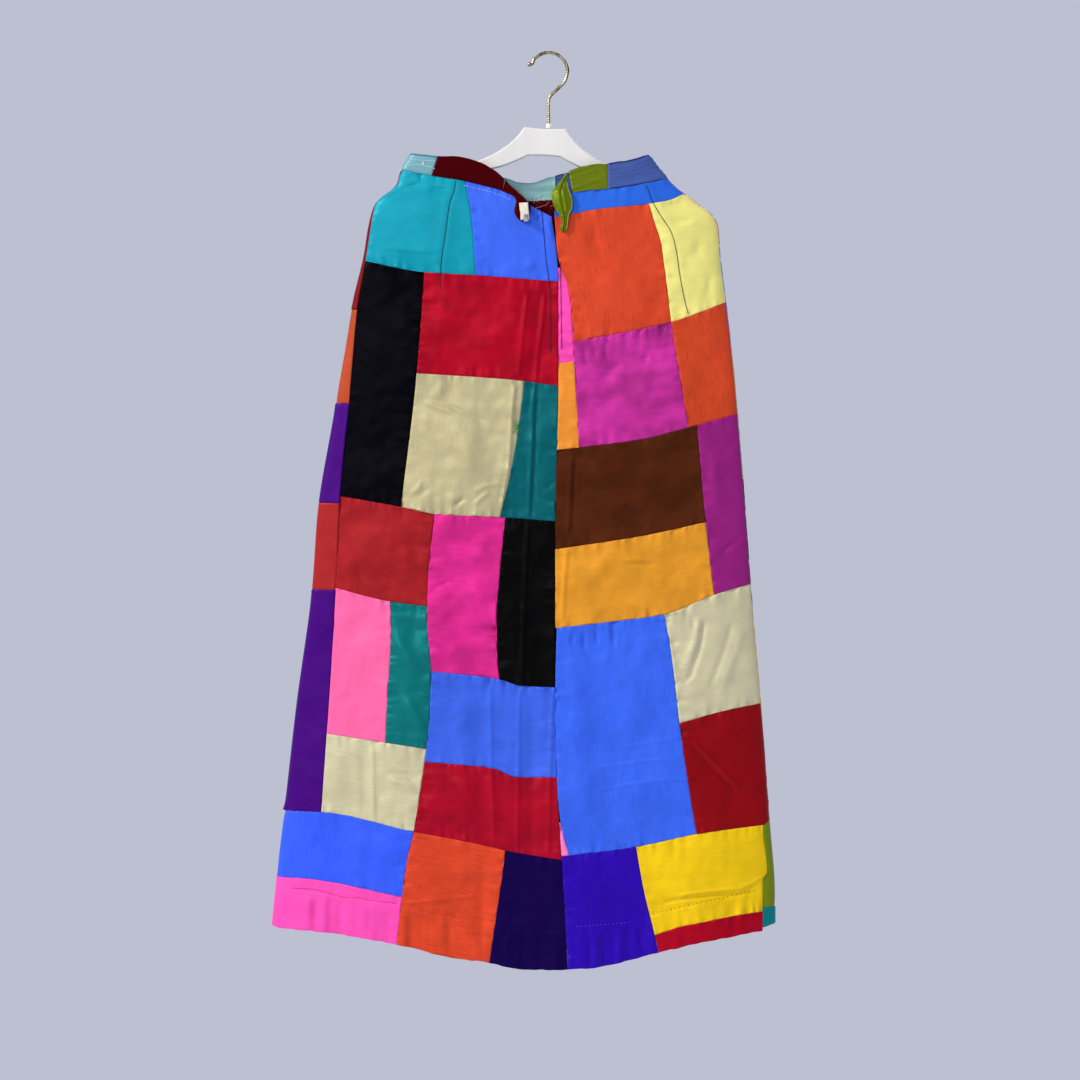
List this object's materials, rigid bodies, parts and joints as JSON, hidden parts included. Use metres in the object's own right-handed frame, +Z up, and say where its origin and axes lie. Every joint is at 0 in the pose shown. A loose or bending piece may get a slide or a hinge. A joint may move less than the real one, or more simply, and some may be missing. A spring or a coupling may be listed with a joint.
{
  "type": "patchwork skirt on a hanger",
  "caption": "Long A-line patchwork skirt of slubby silk, hung by its open waistband on a contoured hanger with a wire hook.",
  "frame": {"origin": "inside top of the hanger's hook, where the rail or pin bears", "axes": "+Z up, +X to the right when looking at the skirt's back, -Y towards that viewer"},
  "size_m": [0.631, 0.0811, 1.1472],
  "materials": {
    "silk_turquoise": "slubby silk, soft sheen",
    "silk_blue": "slubby silk, soft sheen",
    "silk_black": "slubby silk, soft sheen",
    "silk_red": "slubby silk, soft sheen",
    "silk_champagne": "slubby silk, soft sheen",
    "silk_teal": "slubby silk, soft sheen",
    "silk_brick": "slubby silk, soft sheen",
    "silk_fuchsia": "slubby silk, soft sheen",
    "silk_pink": "slubby silk, soft sheen",
    "silk_green": "slubby silk, soft sheen",
    "silk_cornflower": "slubby silk, soft sheen",
    "silk_crimson": "slubby silk, soft sheen",
    "silk_royal": "slubby silk, soft sheen",
    "silk_rose": "slubby silk, soft sheen",
    "silk_orange": "slubby silk, soft sheen",
    "silk_indigo": "slubby silk, soft sheen",
    "silk_lemon": "slubby silk, soft sheen",
    "silk_orchid": "slubby silk, soft sheen",
    "silk_mango": "slubby silk, soft sheen",
    "silk_brown": "slubby silk, soft sheen",
    "silk_purple": "slubby silk, soft sheen",
    "silk_maroon": "slubby silk, soft sheen",
    "silk_violet": "slubby silk, soft sheen",
    "silk_yellow": "slubby silk, soft sheen",
    "silk_wine": "slubby silk, soft sheen",
    "silk_aubergine": "slubby silk, soft sheen",
    "silk_olive": "slubby silk, soft sheen",
    "silk_aqua": "slubby silk, soft sheen",
    "silk_burgundy": "slubby silk, soft sheen",
    "silk_slate": "slubby silk, soft sheen",
    "cotton_tape": "woven cotton",
    "zip_tape": "woven polyester",
    "hook_steel": "plated",
    "hanger_white": "satin white",
    "wire_metal": "nickel plated"
  },
  "bodies": {
    "root": {"back_left_turquoise": "silk_turquoise", "back_left_blue": "silk_blue", "back_left_black": "silk_black", "back_left_red": "silk_red", "back_left_champagne": "silk_champagne", "back_left_teal": "silk_teal", "back_left_brick": "silk_brick", "back_left_fuchsia": "silk_fuchsia", "back_left_jet": "silk_black", "back_left_pink": "silk_pink", "back_left_green": "silk_green", "back_left_cornflower": "silk_cornflower", "back_left_cream": "silk_champagne", "back_left_crimson": "silk_crimson", "back_left_royal": "silk_royal", "back_left_rose": "silk_rose", "back_left_orange": "silk_orange", "back_left_indigo": "silk_indigo", "back_right_blue": "silk_blue", "back_right_vermilion": "silk_orange", "back_right_lemon": "silk_lemon", "back_right_pink_edge": "silk_rose", "back_right_orchid": "silk_orchid", "back_right_orange": "silk_orange", "back_right_mango_edge": "silk_mango", "back_right_brown": "silk_brown", "back_right_purple": "silk_purple", "back_right_mango": "silk_mango", "back_right_royal": "silk_royal", "back_right_champagne": "silk_champagne", "back_right_maroon": "silk_maroon", "back_right_pink_foot": "silk_pink", "back_right_violet": "silk_violet", "back_right_yellow": "silk_yellow", "back_right_red": "silk_crimson", "front_wine": "silk_wine", "front_orange": "silk_orange", "front_purple": "silk_aubergine", "front_red": "silk_brick", "front_aubergine": "silk_aubergine", "front_middle": "silk_turquoise", "front_right": "silk_orchid", "front_olive": "silk_olive", "front_teal": "silk_teal", "band_aqua": "silk_aqua", "band_burgundy": "silk_burgundy", "band_olive": "silk_olive", "band_slate": "silk_slate", "band_front": "silk_aqua", "band_burgundy_end": "silk_burgundy", "band_olive_end": "silk_olive", "band_tape": "cotton_tape", "zip_left": "zip_tape", "zip_right": "zip_tape", "band_hook": "hook_steel", "hanger_body": "hanger_white", "hanger_ferrule": "hanger_white", "hanger_hook": "wire_metal"}
  },
  "joints": []
}
